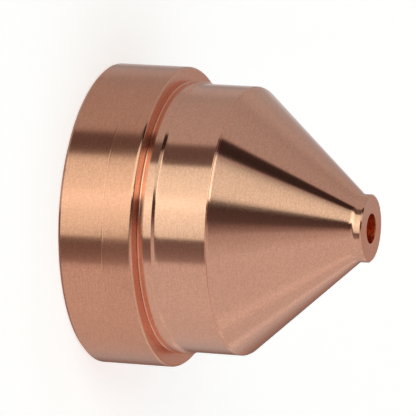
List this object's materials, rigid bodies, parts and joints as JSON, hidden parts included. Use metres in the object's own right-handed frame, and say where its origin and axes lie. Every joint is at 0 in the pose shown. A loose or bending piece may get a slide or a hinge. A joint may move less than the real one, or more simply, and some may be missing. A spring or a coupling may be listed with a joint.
{
  "type": "plasma torch nozzle",
  "caption": "Turned copper nozzle for a plasma cutting torch: wide rear flange, straight body, conical nose and a short tip around a fine orifice.",
  "frame": {"origin": "centre of the flange's back face, on which the nozzle stands", "axes": "+Z along the turning axis, from the back face to the tip; X and Y lie in the back face, and the part is round, so their direction is free"},
  "size_m": [0.028, 0.028, 0.0255],
  "materials": {
    "copper": "fine-turned bare copper, satin, with faint tool marks round the axis"
  },
  "bodies": {
    "root": {"nozzle": "copper"}
  },
  "joints": []
}
